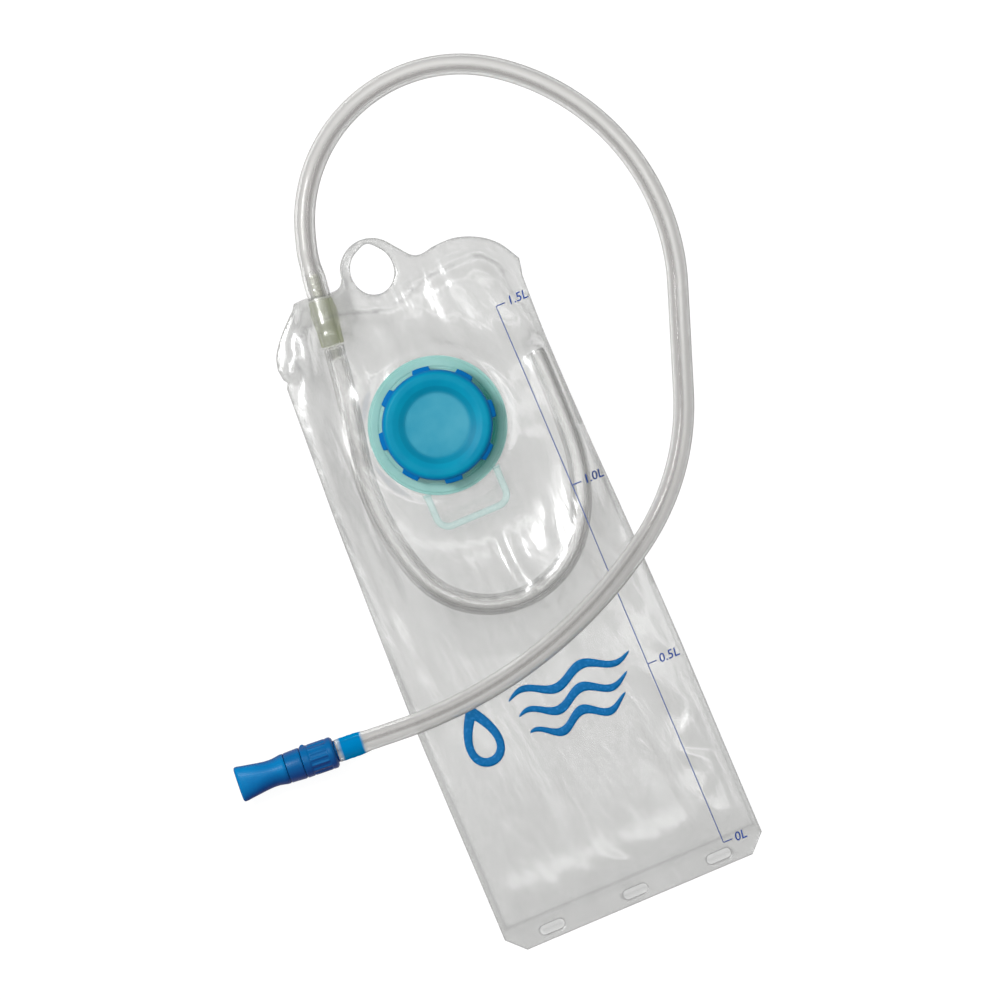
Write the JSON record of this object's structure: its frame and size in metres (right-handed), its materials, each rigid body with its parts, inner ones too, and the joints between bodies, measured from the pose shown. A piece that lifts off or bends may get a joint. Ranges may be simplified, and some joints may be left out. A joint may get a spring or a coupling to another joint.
{
  "type": "hydration bladder",
  "caption": "Flat film water reservoir with a screw-cap filler, finger loop, dip tube, long clear drinking hose and blue push-pull bite valve.",
  "frame": {"origin": "centre of the hanging hole, in the plane where the front and back films are welded together", "axes": "+X to the right seen from the cap side with the hanging tab up, +Y along the bag towards the hanging tab, +Z out of the front film, the cap side"},
  "size_m": [0.3243, 0.4489, 0.0283],
  "materials": {
    "film_front": "clear soft film, faint haze, wrinkled and glossy",
    "film_back": "clear soft film, slightly hazy grey",
    "port": "clear flexible plastic with a faint yellow-green tint",
    "connector": "clear hard plastic",
    "hose": "clear flexible tube, smooth and glossy",
    "flange": "translucent aqua-green moulded plastic",
    "loop": "translucent pale aqua soft plastic",
    "cap": "translucent blue moulded plastic, satin, with a frosted centre",
    "gasket": "soft white sealing ring",
    "valve_body": "blue moulded plastic",
    "oring": "black nitrile rubber",
    "bite": "translucent blue silicone, satin"
  },
  "bodies": {
    "reservoir": {"front_film": "film_front", "back_film": "film_back", "port_sleeve": "port", "barb_connector": "connector", "drink_hose": "hose", "dip_tube": "hose", "filler_flange": "flange"},
    "loop": {"finger_loop": "loop"},
    "cap_seal": {"cap_gasket": "gasket"},
    "cap": {"screw_cap": "cap"},
    "bite_valve": {"valve_stem": "valve_body", "valve_collar": "valve_body", "stem_oring": "oring"},
    "mouth": {"valve_spout": "valve_body", "spout_oring": "oring", "mouthpiece": "bite"}
  },
  "joints": [
    {"name": "cap_turn", "type": "hinge", "parent": "cap_seal", "child": "cap", "pos_m": [0, -0.088, 0.015], "axis": [0, 0, 1], "range_deg": [0, 1080]},
    {"name": "cap_lift", "type": "slide", "parent": "reservoir", "child": "cap_seal", "axis": [0, 0, 1], "range_m": [0, 0.012]},
    {"name": "loop_fold", "type": "hinge", "parent": "reservoir", "child": "loop", "pos_m": [0, -0.1196, 0.01345], "axis": [-1, 0, 0], "range_deg": [0, 80]},
    {"name": "valve_lift", "type": "hinge", "parent": "reservoir", "child": "bite_valve", "pos_m": [-0.075, -0.22567, 0.00912], "axis": [0, 1, 0], "range_deg": [0, 60], "deforming": ["drink_hose"]},
    {"name": "mouthpiece_pull", "type": "slide", "parent": "bite_valve", "child": "mouth", "axis": [-0.9976, 0.0698, -0.0009], "range_m": [0, 0.005]}
  ],
  "couplings": [
    {"joint": "cap_lift", "follows": "cap_turn", "m_per_rad": 0.00063662}
  ]
}
